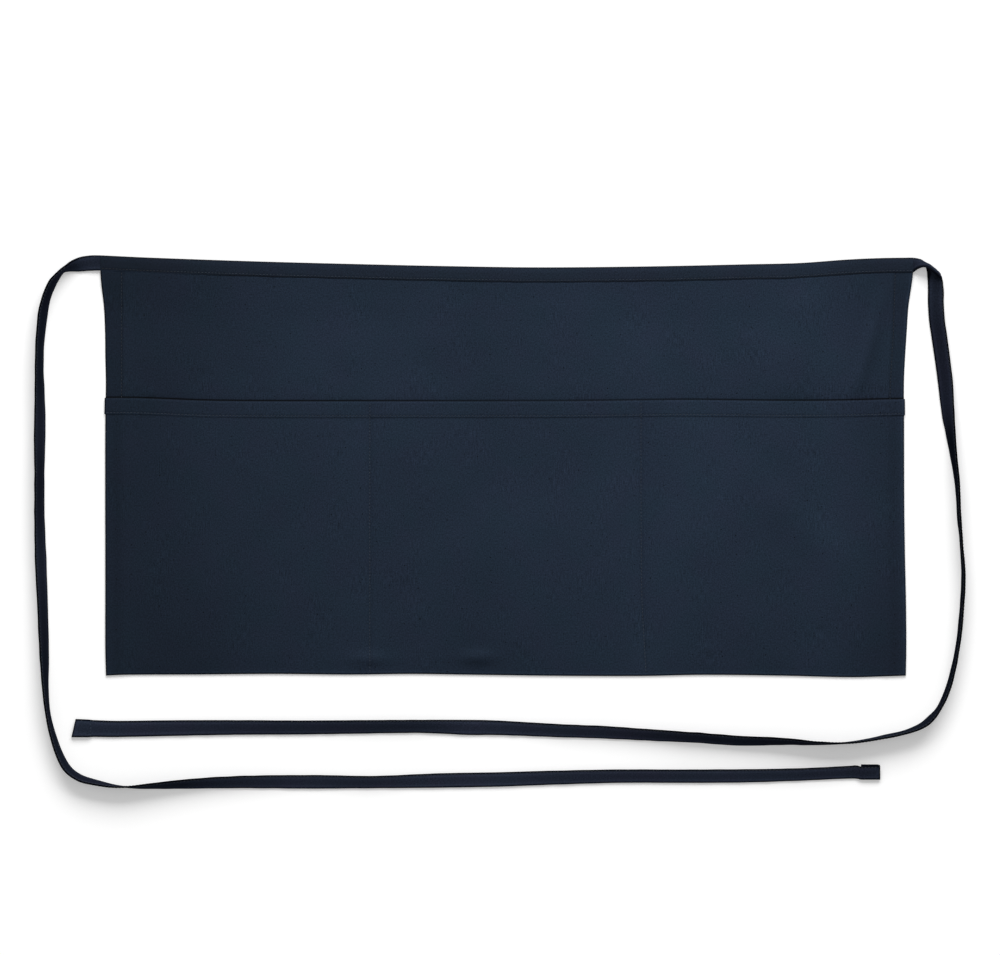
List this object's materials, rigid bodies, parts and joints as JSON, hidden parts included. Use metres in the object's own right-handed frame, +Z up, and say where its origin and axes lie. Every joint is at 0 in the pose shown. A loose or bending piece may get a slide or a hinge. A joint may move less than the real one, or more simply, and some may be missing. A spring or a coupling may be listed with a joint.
{
  "type": "waist apron",
  "caption": "Waist apron of plain dark twill lying flat, with side-by-side open pockets, a folded waistband and long free ties.",
  "frame": {"origin": "on the surface that the apron lies on, below the middle of the box round its panels and waistband", "axes": "+X across the apron to its right as seen from above, +Y from the bottom edge toward the waistband, +Z up from the surface"},
  "size_m": [0.6794, 0.3894, 0.0112],
  "materials": {
    "panel_cloth": "matte dark navy twill",
    "pocket_cloth": "matte dark navy twill",
    "strip_cloth": "matte dark navy twill",
    "tie_cloth": "matte dark navy twill"
  },
  "bodies": {
    "root": {"back_panel": "panel_cloth", "pocket_panel": "pocket_cloth", "waistband": "strip_cloth", "tie_left": "tie_cloth", "tie_right": "tie_cloth"}
  },
  "joints": []
}
